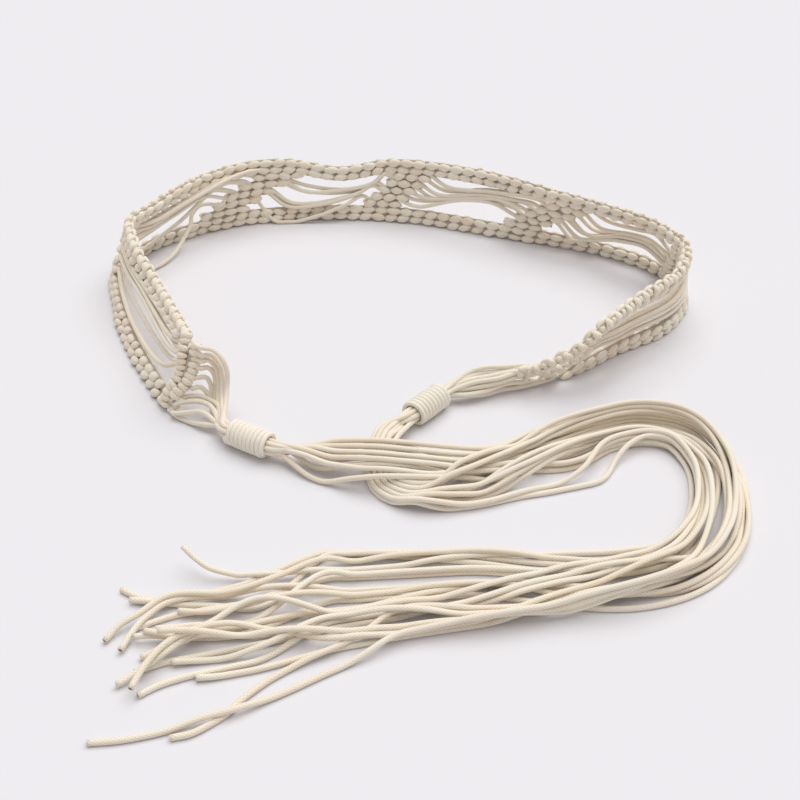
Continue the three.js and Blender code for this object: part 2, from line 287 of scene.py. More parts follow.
cotton = {
    "warm": (0.88, 0.755, 0.60, 1),
    "pale": (0.93, 0.84, 0.72, 1),
    "cool": (0.91, 0.87, 0.74, 1),
    # painted shade in the braid's dips
    "grooveShade": (0.44, 0.30, 0.17, 1),
    # painted shade of cut ends' hollows and of the gaps between knots
    "core": (0.10, 0.08, 0.065, 1),
    "grooveShading": 0.32,  # how much painted shade the braid's dips take
    "strands": 6,
    "stitch": 1.9,  # length of a braid stitch
    "roughness": 0.82,
    "sheen": 0.25,
    "sheenRoughness": 0.5,
    "specular": 0.25,
    "relief": 0.6,
    "reliefDepth": 0.00012,
    "fibreNoise": (2600.0, 2.0),  # its scale and detail
    "patchNoise": (38.0, 3.0),
}
looseCotton = cordMaterial("loose_cotton", cotton)
knottedCotton = cordMaterial("knotted_cotton", {**cotton, "relief": 0.5, "grooveShading": 0.3})
wovenCotton = cordMaterial("whipping_cotton", {**cotton, "pale": (0.97, 0.93, 0.84, 1), "relief": 0.4})

cordRadius = 1.3

# Route of the band's lower edge, in shares of its length, with the lean of the band inward and its width
band = {"length": 749, "width": 44, "footHeight": 4}
ring = [
    {"x": -0.156, "y": -0.021, "lean": 26, "width": 1},
    {"x": -0.183, "y": 0.025, "lean": 33, "width": 1},
    {"x": -0.206, "y": 0.073, "lean": 33, "width": 1},
    {"x": -0.223, "y": 0.124, "lean": 24, "width": 1},
    {"x": -0.234, "y": 0.176, "lean": 22, "width": 1},
    {"x": -0.214, "y": 0.220, "lean": 22, "width": 1},
    {"x": -0.172, "y": 0.255, "lean": 8, "width": 1},
    {"x": -0.126, "y": 0.275, "lean": -6, "width": 1},
    {"x": -0.073, "y": 0.283, "lean": -9, "width": 1},
    {"x": -0.020, "y": 0.282, "lean": -10, "width": 1},
    {"x": 0.031, "y": 0.271, "lean": -10, "width": 1},
    {"x": 0.080, "y": 0.252, "lean": -6, "width": 1},
    {"x": 0.131, "y": 0.234, "lean": 9, "width": 1},
    {"x": 0.183, "y": 0.212, "lean": 18, "width": 1},
    {"x": 0.222, "y": 0.178, "lean": 18, "width": 1},
    {"x": 0.234, "y": 0.130, "lean": 10, "width": 1},
    {"x": 0.210, "y": 0.084, "lean": -4, "width": 1},
    {"x": 0.166, "y": 0.053, "lean": -15, "width": 1},
    {"x": 0.131, "y": 0.027, "lean": -24, "width": 1},
    {"x": 0.115, "y": 0.017, "lean": -28, "width": 0.72},
    {"x": 0.100, "y": 0.013, "lean": -28, "width": 0.5},
    {"x": 0.085, "y": 0.011, "lean": -28, "width": 0.37},
]
# Knotted bars: the middle of each as a share of the length, how far it leans for its height, and its width
bars = [
    {"middle": -0.001, "slant": 0, "width": 13},
    {"middle": 0.212, "slant": 1, "width": 17},
    {"middle": 0.366, "slant": 2, "width": 33},
    {"middle": 0.500, "slant": 1, "width": 25},
    {"middle": 0.641, "slant": 1.5, "width": 28},
    {"middle": 0.788, "slant": 0.7, "width": 25},
    {"middle": 0.962, "slant": 0.3, "width": 20},
]
lastBar = len(bars) - 1
# Where each rail stops, how far sooner the pads inside the upper one do, how much shorter a second row is
# at its start and its end, and how far the upper rail sags over the third window
rails = {
    "lowerEnd": 726, "upperEnd": 750, "padsShort": 10, "startLater": 4, "stopSooner": 8,
    "sag": 7, "sagMiddle": 336, "sagReach": 24,
}

ringPlan = [(row["x"] * band["length"], row["y"] * band["length"]) for row in ring]
ringStance = [(math.radians(row["lean"]), row["width"]) for row in ring]
ringAt = np.linspace(0, len(ring) - 1, 4001)
ringLine = through(ringPlan, ringAt)
ringAlong = lengthsAlong(ringLine)
ringWay = unit(np.gradient(ringLine, axis=0))


# A place in the band: along its lower edge, up its width, and through it to the ring's inside
def bandPoint(along, up, inside=0.0):
    along, up, inside = np.broadcast_arrays(*(np.asarray(v, float) for v in (along, up, inside)))
    reached = np.clip(along, 0, band["length"])
    at = np.interp(reached / band["length"] * ringAlong[-1], ringAlong, ringAt)
    way = unit(np.stack([np.interp(at, ringAt, ringWay[:, k]) for k in range(2)], -1))
    foot = np.stack([np.interp(at, ringAt, ringLine[:, k]) for k in range(2)], -1)
    foot = foot + way * (along - reached)[..., None]
    stance = through(ringStance, at.ravel(), False).reshape(*at.shape, 2)
    lean, height = stance[..., 0], up * stance[..., 1]
    pressed = np.clip(height / band["footHeight"], 0, 1)
    inward = height * np.sin(lean) + inside * np.cos(lean)
    return np.stack([
        foot[..., 0] + way[..., 1] * inward,
        foot[..., 1] - way[..., 0] * inward,
        height * np.cos(lean) - inside * np.sin(lean) * pressed,
    ], -1)


def widthAt(along):
    at = np.interp(np.clip(along, 0, band["length"]) / band["length"] * ringAlong[-1], ringAlong, ringAt)
    return through(ringStance, np.atleast_1d(at), False)[:, 1]


def barSide(bar, side, up):
    row = bars[bar]
    middle = row["middle"] * band["length"]
    return middle + side * row["width"] / 2 + row["slant"] * (up - band["width"] / 2)


# Knots of the band: oval pads on its inside, and ribs on its outside. Each form has its row along the first
# axis, the way across the row along the second and the ring's inside along the third.

knot = {
    "pitch": 8.8,  # from pad to pad along a row
    "rowGap": 4.6,
    "fromEdge": 2.9,  # from the band's edge to the first row
    "padHalf": (4.6, 2.6, 1.8),  # half sizes of a pad
    "padDepth": 1.5,  # from the middle of the band to the middle of a pad
    "fullness": 1.75,
    "edgeRib": {
        "gap": 4.4, "halfWidth": 1.95, "halfDepth": 1.25, "reach": 1.7, "depth": 1.9, "lean": 0.55,
        "core": 1.6,
    },
    "endRib": {
        "gap": 3.3, "halfWidth": 1.7, "halfDepth": 1.25, "reach": 2.4, "depth": 2.0, "lean": 0.1,
        "core": 1.5,
    },
    "sway": 8,  # degrees
    "scatter": 0.18,  # how far a knot lies off its place
    "unevenness": 0.06,  # of the knots' sizes
    "tilt": 14,  # of the pads on a rail's outside
    "beat": (1.2, 0.9),  # sizes of the edge ribs in turn
    "coreHalf": (2.7, 0.9),  # half width and half depth of the strips that the knots are tied round
    # how far the strips take the dark colour, as painted shade in the gaps between knots
    "coreShade": 0.45,
}


def padForm():
    share = np.sin(np.radians(np.linspace(-86, 86, 13)))
    full = (1 - np.abs(share) ** knot["fullness"]) ** (1 / knot["fullness"])
    long, wide, high = knot["padHalf"]
    centres = np.stack([long * share, 0.12 * wide * share, knot["padDepth"] - 0.5 * share**2], 1)
    side = np.broadcast_to([0.0, 1.0, 0.0], centres.shape)
    above = np.broadcast_to([0.0, 0.0, -1.0], centres.shape)
    sections = sectionsAt(centres, side, above, wide * full, high * (0.25 + 0.75 * full), 12)
    return sections, lengthsAlong(centres)


def ribForm(rib):
    turn = np.radians(np.linspace(118, -118, 11))
    high = rib["reach"] * np.sin(turn)
    centres = np.stack([rib["lean"] * high, high, -rib["depth"] * np.cos(turn)], 1)
    out = unit(np.stack([0 * turn, np.sin(turn), -np.cos(turn)], 1))
    way = unit(np.gradient(centres, axis=0))
    side = unit(np.cross(way, out))
    share = 1 - 0.7 * np.abs(np.linspace(-1, 1, 11)) ** 3
    above = np.cross(side, way)
    sections = sectionsAt(centres, side, above, rib["halfWidth"] * share, rib["halfDepth"] * share, 10)
    return sections, lengthsAlong(centres)


pad, edgeRib, endRib = padForm(), ribForm(knot["edgeRib"]), ribForm(knot["endRib"])


# Two directions at right angles, turned by an angle in their plane
def turned(first, second, angle):
    return first * np.cos(angle) + second * np.sin(angle), second * np.cos(angle) - first * np.sin(angle)


# Forms at even gaps on a line of the band, given as (along, up, inside) places. curl turns them about the
# line, tilt in the band's face, and beat gives their sizes in turn.
def knotRow(strands, form, rows, gap, seed, shift=0.0, curl=0.0, tilt=0.0, beat=(1,)):
    rows = np.asarray(rows, float)
    along = lengthsAlong(bandPoint(*rows.T))
    chance = np.random.default_rng(seed)
    count = max(1, int((along[-1] - shift) / gap + 0.35))
    at = shift + (np.arange(count) + 0.5) * gap
    before, here, after = (
        np.stack([np.interp(at + d, along, column) for column in rows.T]) for d in (-0.5, 0, 0.5)
    )
    way = unit(bandPoint(*after) - bandPoint(*before))
    raised = np.maximum(here[1], band["footHeight"])
    inside = bandPoint(here[0], raised, 1) - bandPoint(here[0], raised, -1)
    inside = unit(inside - way * (inside * way).sum(1, keepdims=True))
    up = np.cross(inside, way)
    inside, up = turned(inside, up, math.radians(curl))
    way, up = turned(way, up, np.radians(chance.normal(tilt, knot["sway"], (count, 1))))
    sections, formAlong = form
    spots = bandPoint(*here) + chance.normal(0, knot["scatter"], (count, 3))
    narrow = 0.6 + 0.4 * widthAt(here[0])[:, None]
    sizes = chance.normal(1, knot["unevenness"], (count, 3)) * np.resize(beat, (count, 1)) * narrow
    for k in range(count):
        placed = spots[k] + (sections * sizes[k]) @ np.stack([way[k], up[k], inside[k]])
        placed[..., 2] = np.maximum(placed[..., 2], 0.02)
        strands.add(placed, formAlong + chance.uniform(0, 50), chance.uniform(0, 1))


# What the knots are tied round: a flat strip along the same kind of line, which shows only in the gaps,
# painted dark as their shade
def coreStrip(strands, rows, across):
    rows = np.asarray(rows, float)[::3]
    angle = 2 * np.pi * (np.arange(8) + 0.5) / 8
    wide, deep = knot["coreHalf"][0] * np.cos(angle), knot["coreHalf"][1] * np.sin(angle)
    along, up, inside = rows.T[:, :, None]
    sections = bandPoint(along + wide * across[0], up + wide * across[1], inside + deep)
    sections[..., 2] = np.maximum(sections[..., 2], 0.1)
    strands.add(sections, lengthsAlong(sections[:, 0]), 0, shade=knot["coreShade"])


# A row of ribs and the cord that they are wound on
def ribRow(strands, kind, form, row, seed, curl=0.0, tilt=0.0, beat=(1,)):
    knotRow(strands, form, row, knot[kind]["gap"], seed, 0, curl, tilt, beat)
    roundCord(strands, evenly(bandPoint(*row.T), 3), knot[kind]["core"], 0.1, sides=6)


def edgeRow(low, high, fromEdge, top):
    along = np.arange(low, high, 1.0)
    up = fromEdge / widthAt(along)
    if top:
        fromSag = (along - rails["sagMiddle"]) / rails["sagReach"]
        up = band["width"] - up - rails["sag"] * np.exp(-fromSag**2)
    return np.stack([along, up, 0 * along], 1)


# The two ridges of the upright bar, which curls to the ring's inside: (along, up, inside)
outerRidge = [
    (5, 43.5, -1.2), (3, 39, -1.4), (1.2, 34, -1.4), (0.4, 29, -0.9), (0, 22, 0), (0.4, 16, -0.6),
    (2, 10, -1.4), (1.5, 5, -1), (0.5, 2.5, -0.6),
]
innerRidge = [
    (-1.4, 41.5, 1.8), (-2.4, 38.5, 2.6), (-3.2, 35, 3.2), (-3.8, 31, 3.8), (-4.4, 25, 3.7),
    (-4.7, 19, 2.4), (-4.0, 14, 0.6), (-1.5, 9, -0.4),
]
lastRibs = [(-1, 25), (0, 22), (1, 19)]  # from side to side of the last bar, and how high
lowerRail, upperRail, slantedBars = Strands(), Strands(), Strands()
fromEdges = [knot["fromEdge"] + knot["rowGap"] * k for k in range(3)]
for top, rail in ((False, lowerRail), (True, upperRail)):
    for k, fromEdge in enumerate(fromEdges[:2]):
        end = rails["upperEnd"] if top else rails["lowerEnd"]
        start = 2 + rails["startLater"] * k + 3 * top
        row = edgeRow(start, end - rails["stopSooner"] * k, fromEdge, top)
        shift = 0.5 * k * knot["pitch"]
        padRow = row[:-rails["padsShort"]] if top else row
        knotRow(rail, pad, padRow, knot["pitch"], 10 * k + top, shift)
        if top and k == 0:
            ribRow(rail, "edgeRib", edgeRib, row, 20, 0, knot["tilt"], knot["beat"])
        else:
            knotRow(rail, pad, row, knot["pitch"], 20 + 10 * k + top, shift, 180, knot["tilt"])
        coreStrip(rail, row, (0, 1))
courses = np.linspace(fromEdges[2], band["width"] - fromEdges[2], 5)
for bar in range(1, lastBar):
    for k, up in enumerate(courses):
        row = [(barSide(bar, side, up), up, 0) for side in (-1, 1)]
        knotRow(slantedBars, pad, row, knot["pitch"], 60 + 10 * bar + k)
        knotRow(slantedBars, pad, row, knot["pitch"], 160 + 10 * bar + k, 0, 180, knot["tilt"])
        within = [(barSide(bar, side, up) - 2 * side, up, 0) for side in (-1, 1)]
        coreStrip(slantedBars, smoothLine(within, 1), (0, 1))
lastRow = smoothLine([(barSide(lastBar, side, up), up, 0) for side, up in lastRibs], 1)
ribRow(slantedBars, "edgeRib", edgeRib, lastRow, 60, 0, knot["tilt"], knot["beat"])
# a strip between the upright bar's two ridges, painted dark as the shade in the gap between them
coreStrip(slantedBars, [(-1.2, up, 0.8) for up in range(8, 40)], (1, 0))
for ridge, curl in ((outerRidge, 12), (innerRidge, 50)):
    ribRow(slantedBars, "endRib", endRib, smoothLine(ridge), 300 + curl, curl)
print("knots made")

# Loose cords across the windows: heights as shares of the window where the top, a middle and the lowest cord
# leave the bar on the left of its outside view, just after, halfway, further on and where they enter the
# next bar, and how far they bow to the ring's inside. at places each cord between these three (0, 1 and 2).
crossing = {
    "layer": 1.3,  # how far a cord lies before or behind its neighbour
    "low": 12,
    "high": 32,
    "steep": 12,  # from the bar until a cord has come down
    "stray": 0.6,
    "tuck": 4,  # how far it goes into the bars
}
windows = [
    {"at": (0, 0.25, 0.5, 0.75, 1, 1.6, 2), "rows": [
        {"leave": 1.36, "after": 1.22, "middle": 1.08, "late": 1.00, "enter": 0.95, "bow": 0},
        {"leave": 0.82, "after": 0.76, "middle": 0.80, "late": 0.68, "enter": 0.42, "bow": 0},
        {"leave": 0.56, "after": 0.27, "middle": 0.07, "late": 0.08, "enter": 0.12, "bow": 0},
    ]},
    {"at": (0, 0.2, 0.4, 0.65, 1, 1.5, 2), "rows": [
        {"leave": 0.98, "after": 1.00, "middle": 1.10, "late": 1.34, "enter": 1.18, "bow": 4.2},
        {"leave": 0.60, "after": 0.62, "middle": 0.78, "late": 0.95, "enter": 0.50, "bow": 2.5},
        {"leave": 0.00, "after": -0.2, "middle": 0.25, "late": 1.05, "enter": 0.90, "bow": 1.5},
    ]},
    {"at": (0, 0.14, 0.28, 0.86, 1, 1.12, 2), "rows": [
        {"leave": 0.80, "after": 0.54, "middle": 0.47, "late": 0.72, "enter": 1.05, "bow": 1.5},
        {"leave": 0.45, "after": 0.00, "middle": 0.04, "late": 0.34, "enter": 0.58, "bow": 2.5},
        {"leave": 0.20, "after": -0.5, "middle": -0.45, "late": 0.0, "enter": 0.16, "bow": 7},
    ]},
    {"at": (0, 0.33, 0.67, 1, 1.33, 1.67, 2), "rows": [
        {"leave": 1.08, "after": 0.86, "middle": 0.98, "late": 1.10, "enter": 1.08, "bow": 1.5},
        {"leave": 0.60, "after": 0.42, "middle": 0.72, "late": 0.84, "enter": 0.68, "bow": 1.5},
        {"leave": 0.12, "after": 0.05, "middle": 0.47, "late": 0.56, "enter": 0.28, "bow": 1.5},
    ]},
    {"at": (0, 0.33, 0.67, 1, 1.25, 1.6, 2), "rows": [
        {"leave": 1.12, "after": 0.90, "middle": 0.98, "late": 1.02, "enter": 0.70, "bow": 2},
        {"leave": 0.62, "after": 0.25, "middle": 0.58, "late": 0.68, "enter": 0.32, "bow": 2},
        {"leave": 0.30, "after": -0.2, "middle": 0.35, "late": 0.42, "enter": 0.00, "bow": 3},
    ]},
    {"at": (0, 0.33, 0.67, 1, 1.33, 1.67, 2), "rows": [
        {"leave": 0.98, "after": 0.78, "middle": 0.66, "late": 0.70, "enter": 0.80, "bow": 0},
        {"leave": 0.56, "after": 0.40, "middle": 0.38, "late": 0.45, "enter": 0.50, "bow": 0},
        {"leave": 0.10, "after": 0.00, "middle": 0.10, "late": 0.18, "enter": 0.18, "bow": 0},
    ]},
]
windowCords = Strands()
for window, cords in enumerate(windows):
    chance = np.random.default_rng(200 + window)
    for k, row in enumerate(through([list(row.values()) for row in cords["rows"]], cords["at"], False)):
        up = crossing["low"] + (crossing["high"] - crossing["low"]) * row[:5]
        up[1:4] += chance.normal(0, crossing["stray"], 3)
        layer = crossing["layer"] * (1 if (k + window) % 2 else -1)
        start, end = barSide(window, 1, up[0]), barSide(window + 1, -1, up[4])
        if window == 0:
            start += 0.75 * max(0, up[0] - 20)
        run, tuck, bow = end - start, crossing["tuck"], row[5]
        route = [
            (start - tuck, up[0] + 3, 0),
            (start + 0.5, up[0], 0.3 * layer),
            (start + crossing["steep"], up[1], layer + 0.7 * bow),
            (start + 0.5 * run, up[2], layer + bow),
            (start + 0.8 * run, up[3], layer + bow),
            (end - tuck, up[4] + 2, 0.6 * layer + 0.4 * bow),
            (end + 0.5, up[4] - 0.5, 0.2 * layer),
            (end + tuck, up[4] - 3.5, 0),
        ]
        centres = bandPoint(*smoothLine(route, 1.5).T)
        centres[:, 2] = np.maximum(centres[:, 2], cordRadius)
        roundCord(windowCords, centres, cordRadius, chance.uniform(0, 1), sides=8)

# One slack cord hangs out of the second window to the ring's inside
slackCord = [
    (-113.6, 196.3, 20.5), (-116.5, 192.6, 19.5), (-122.7, 192.8, 20.5), (-129.0, 188.6, 21),
    (-133.1, 181.2, 18), (-133.5, 174.5, 14), (-137.9, 165.8, 7), (-142.2, 154.2, 3.5),
    (-148, 143, 2), (-154, 136, 2), (-162, 131, 3),
]
roundCord(windowCords, smoothLine(slackCord), cordRadius, 0.8)
print("loose cords made")

knottedNode = ["knotted_band"]
addPiece("lower_rail", lowerRail, knottedCotton, knottedNode)
addPiece("upper_rail", upperRail, knottedCotton, knottedNode)
addPiece("slanted_bars", slantedBars, knottedCotton, knottedNode)
addPiece("window_cords", windowCords, looseCotton, knottedNode)

# Wraps: tight turns of cord round each end's cords

wrap = {
    "length": 25,
    "turns": 10,
    "bore": 4.5,
    "thickness": 2.5,
    "cordHalf": (1.3, 1.2),  # half width and half depth of its cord
    "firstAngle": 3.4,  # radians round the wrap at which its cord comes out
    "tug": 0.12,  # how unevenly the turns lie
}
wrapAxis = wrap["bore"] + wrap["thickness"]  # height of its middle
leftWrapEnds = {"inlet": (-80, -42), "outlet": (-59, -55)}
rightWrapEnds = {"inlet": (26, -10), "outlet": (9, -30)}


def wrapFrame(ends):
    start = np.array([*ends["inlet"], wrapAxis], float)
    way = unit(np.array([*ends["outlet"], wrapAxis]) - start)
    return start, way, np.array([-way[1], way[0], 0])


def addWrap(name, ends, node, seed):
    strands = Strands()
    start, way, beside = wrapFrame(ends)
    pitch = wrap["length"] / wrap["turns"]
    chance = np.random.default_rng(seed)
    turn = np.arange(0, wrap["turns"] - 1 + 1e-6, 1 / 36)
    tug = through(chance.normal(0, wrap["tug"], (wrap["turns"] + 2, 1)), turn)[:, 0]
    radius = wrap["bore"] + wrap["thickness"] / 2 + 0.5 * tug
    angle = 2 * np.pi * turn + wrap["firstAngle"]
    out = np.cos(angle)[:, None] * beside + np.sin(angle)[:, None] * np.array([0, 0, 1])
    centres = start + way * ((turn + 0.5) * pitch + tug)[:, None] + out * radius[:, None]
    tucks = [centres[0] - way * 0.5 - out[0] * 3, centres[-1] + way * 0.5 - out[-1] * 3]
    centres = np.vstack([tucks[0], centres, tucks[1]])
    side, above = carriedFrame(centres, way)
    sections = sectionsAt(centres, side, above, *wrap["cordHalf"], 10)
    strands.add(sections, lengthsAlong(centres), 0.75)
    addPiece(name, strands, wovenCotton, [node])


addWrap("left_whipping", leftWrapEnds, "left_wrap", 5)
addWrap("right_whipping", rightWrapEnds, "right_wrap", 6)

# Places of ten cords inside a wrap: across it and up
packing = [(0.0, -0.75), (0.0, 0.75)] + [
    (3.1 * math.cos(a), 3.1 * math.sin(a)) for a in np.radians(np.arange(8) * 45 + 22.5)
]

# Gathers: each cord's height on the band's slanted end, its way to the wrap, and its place in the wrap

leftGather = [
    {"up": 41, "slot": 4, "via": [
        (-94.4, -11.9, 36), (-89.5, -13.6, 36), (-85.3, -15.4, 32), (-83.2, -16.4, 25),
        (-83.6, -19.0, 17), (-83.8, -27.0, 12),
    ]},
    {"up": 38, "slot": 3, "via": [
        (-96.2, -12.6, 32), (-91.1, -12.0, 32), (-87.4, -13.0, 27), (-86.2, -14.9, 21),
        (-86.2, -19.0, 14), (-85.0, -29.0, 11),
    ]},
    {"up": 34, "slot": 1, "via": [
        (-96.2, -13.3, 29), (-92.9, -11.8, 29), (-89.7, -12.3, 25), (-88.6, -13.4, 18),
        (-88.6, -19.0, 11), (-87.0, -29.0, 9),
    ]},
    {"up": 30, "slot": 2, "via": [
        (-97.5, -13.8, 25), (-93.6, -12.7, 25), (-91.0, -12.0, 21), (-90.3, -13.4, 14), (-90.9, -18.5, 8),
        (-88.5, -28.0, 6),
    ]},
    {"up": 24, "slot": 5, "via": [
        (-98.5, -14.4, 20), (-95.0, -13.2, 19.5), (-92.9, -13.4, 15), (-92.8, -17.6, 7),
        (-90.5, -27.0, 4),
    ]},
    {"up": 18, "slot": 0, "via": [
        (-102.0, -15.6, 14), (-98.3, -14.0, 14), (-95.2, -14.6, 11), (-92.4, -18.9, 6), (-88.9, -26.6, 5),
    ]},
    {"up": 12, "slot": 6, "via": [
        (-106.0, -15.8, 9), (-98.5, -16.6, 10), (-91.8, -20.8, 10), (-86.9, -27.0, 10),
    ]},
    {"up": 6, "slot": 7, "via": [
        (-111.5, -18.8, 6), (-105.8, -18.9, 8), (-98.2, -20.8, 9.5), (-91.1, -26.2, 10),
    ]},
    {"up": 3, "slot": 8, "via": [
        (-112.2, -22.6, 3.5), (-103.7, -25.3, 6), (-95.6, -28.6, 8.5),
    ]},
    {"up": 2, "slot": 9, "via": [
        (-108.1, -24.0, 1.5), (-101.1, -28.6, 2), (-94.7, -32.7, 4),
    ]},
]
rightGather = [
    {"up": 42, "slot": 3, "via": [
        (70.8, 4.5, 15), (59.2, 3.4, 15), (47.9, 2.4, 15), (39.4, 0.4, 13),
    ]},
    {"up": 39, "slot": 4, "via": [
        (67.3, 2.9, 14), (56.6, 2.4, 12.5), (45.2, 0.9, 12),
    ]},
    {"up": 36, "slot": 1, "via": [
        (67.8, 0.9, 14), (59.3, 0.4, 13), (50.7, -1.2, 12), (39.3, -3.6, 11),
    ]},
    {"up": 32, "slot": 2, "via": [
        (67.0, 1.7, 13), (55.0, -3.3, 12), (41.9, -5.8, 11),
    ]},
    {"up": 28, "slot": 0, "via": [
        (71.0, 3.9, 11), (62.0, -0.8, 10), (50.5, -4.9, 9), (39.2, -6.8, 8),
    ]},
    {"up": 22, "slot": 5, "via": [
        (72.0, 5.5, 8), (59.5, 2.1, 9), (47.8, -1.5, 8),
    ]},
    {"up": 16, "slot": 9, "via": [
        (78.9, 8.7, 4), (68.4, 2.6, 6), (59.5, -0.9, 7), (47.8, -6.5, 6), (38.3, -9.5, 6),
    ]},
    {"up": 8, "slot": 8, "via": [
        (92, 15.7, 2), (79.9, 8.5, 2), (68.7, 3.6, 2.2), (56.9, -0.1, 2.6), (46.1, -5.2, 3),
    ]},
    {"up": 30, "slot": 6, "via": [
        (70.0, 3.4, 6), (60.0, 2.8, 5), (48.0, -1.0, 4), (38.0, -4.0, 4),
    ]},
    {"up": 12, "slot": 7, "via": [
        (84, 12, 3), (71, 6.6, 2.6), (58.9, 1.6, 2), (47.1, -4.2, 2),
    ]},
]


# bandEnd: where the band ends along its length, at its lower and its upper edge
def addGather(name, rows, ends, bandEnd, side, curl, node):
    strands = Strands()
    start, way, beside = wrapFrame(ends)
    chance = np.random.default_rng(301 + side)
    for row in rows:
        along = np.interp(row["up"], (0, band["width"]), bandEnd)
        inside = curl * math.sin(math.pi * row["up"] / band["width"])
        across, high = packing[row["slot"]]
        inlet = start + beside * across + np.array([0, 0, high])
        route = [
            bandPoint(along - side * 6, row["up"], 0.4 * inside),
            bandPoint(along - side, row["up"], inside),
            *row["via"],
            *(inlet + way * d for d in (-3, 2, wrap["length"] / 2 - 0.2)),
        ]
        centres = smoothLine(np.array(route), 1.5)
        centres[:, 2] = np.maximum(centres[:, 2], cordRadius)
        roundCord(strands, centres, cordRadius, chance.uniform(0, 1))
    addPiece(name, strands, looseCotton, [node])


leftBandEnd, rightBandEnd = (-7, -7), (rails["lowerEnd"], rails["upperEnd"])
addGather("left_loose_cords", leftGather, leftWrapEnds, leftBandEnd, -1, 5.5, "left_gather")
addGather("right_loose_cords", rightGather, rightWrapEnds, rightBandEnd, 1, 0, "right_gather")
print("wraps and gathers made")

# Tassels: a route for each, with the room that its cords take to either side, and how far the two have slid
# apart: 0 lies one on the other and 1 side by side

leftLead = [
    {"x": -44, "y": -59.5, "spread": 5.5, "slide": 0},
    {"x": -31, "y": -64, "spread": 8, "slide": 0},
    {"x": -19, "y": -67, "spread": 9, "slide": 0},
    {"x": -8, "y": -69, "spread": 10, "slide": 0},
    {"x": 4, "y": -70.5, "spread": 10.5, "slide": 0},
    {"x": 16, "y": -70.5, "spread": 10.5, "slide": 0},
    {"x": 28, "y": -69, "spread": 10.5, "slide": 0},
    {"x": 42, "y": -65, "spread": 10.5, "slide": 0},
    {"x": 61, "y": -56, "spread": 11.5, "slide": 0},
]
rightLead = [
    {"x": 3, "y": -37, "spread": 5.5, "slide": 0},
    {"x": -3, "y": -47, "spread": 6.5, "slide": 0},
    {"x": -6, "y": -59, "spread": 6.5, "slide": 0},
    {"x": -6, "y": -71, "spread": 6, "slide": 0},
    {"x": -3, "y": -81, "spread": 5.5, "slide": 0},
    {"x": 6, "y": -88, "spread": 5.5, "slide": 0},
    {"x": 21, "y": -88.5, "spread": 8.1, "slide": 0},
    {"x": 38.5, "y": -82, "spread": 12.2, "slide": 0},
    {"x": 60, "y": -68, "spread": 14.8, "slide": 0},
]
joined = [
    {"x": 82.5, "y": -51, "spread": 14, "slide": 0},
    {"x": 104, "y": -40.5, "spread": 10.8, "slide": 0},
    {"x": 125, "y": -35.5, "spread": 10.8, "slide": 0},
    {"x": 143, "y": -41, "spread": 11.5, "slide": 0},
    {"x": 153, "y": -62, "spread": 11.5, "slide": 0},
    {"x": 152, "y": -88, "spread": 12, "slide": 0},
    {"x": 143, "y": -115, "spread": 12.5, "slide": 0},
    {"x": 127, "y": -134, "spread": 14, "slide": 0.1},
    {"x": 102, "y": -145, "spread": 18, "slide": 0.35},
    {"x": 70, "y": -149, "spread": 23, "slide": 0.7},
    {"x": 37, "y": -152, "spread": 27, "slide": 1},
    {"x": 4, "y": -156, "spread": 29, "slide": 1},
    {"x": -29, "y": -161, "spread": 32, "slide": 1},
]

# Each cord: its lane in its tassel from the right-hand side (-1) to the left (1) near the wrap, at the bend
# and in the long run, then its own last places in plan, the last one with its height where it is lifted.
# stray: a row of the joined route where it leaves its lane, how far, and over how many rows
leftCords = [
    {"lanes": (-1.35, -0.8, -0.95), "last": [
        (-62.6, -143.1), (-80.1, -149.0), (-91.8, -151.5), (-100.3, -151.5), (-106.8, -149.0),
        (-112.4, -145.6),
    ]},
    {"lanes": (-0.7, -0.9, -0.75), "stray": (8, -0.65, 2.2), "last": [
        (-55.0, -139.0), (-71.8, -138.7), (-76.6, -138.0), (-83.0, -134.6), (-88.1, -130.8, 12),
    ]},
    {"lanes": (-0.5, -0.3, -0.6), "last": [
        (-53.4, -155.7), (-73.2, -154.9), (-96.2, -154.0), (-107.4, -152.4),
    ]},
    {"lanes": (-0.3, -0.55, -0.85), "last": [
        (-60.0, -150.0), (-91.4, -154.0), (-101.6, -163.0), (-108.9, -168.5), (-113.0, -174.4),
    ]},
    {"lanes": (-0.1, 0.1, -0.4), "last": [
        (-60.0, -156.0), (-85.6, -159.8), (-98.0, -165.2), (-103.0, -167.8),
    ]},
    {"lanes": (0.1, -0.1, -0.2), "last": [
        (-52.0, -163.0), (-79.8, -165.8), (-87.9, -167.0), (-94.0, -167.4),
    ]},
    {"lanes": (0.3, 0.5, 0.1), "last": [
        (-68.0, -150.0), (-91.2, -155.9), (-99.0, -164.2), (-103.5, -174.0), (-105.5, -179.7),
    ]},
    {"lanes": (0.5, 0.3, 0.35), "last": [
        (-56.0, -167.0), (-76.4, -172.4), (-84.0, -175.0), (-90.1, -174.0), (-97.0, -172.8),
    ]},
    {"lanes": (0.7, 0.9, 0.6), "last": [
        (-60.0, -171.0), (-88.0, -172.4), (-97.2, -173.4), (-101.2, -174.0),
    ]},
    {"lanes": (0.9, 0.7, 0.8), "last": [
        (-55.0, -158.0), (-75.0, -160.5), (-86.0, -160.0),
    ]},
]
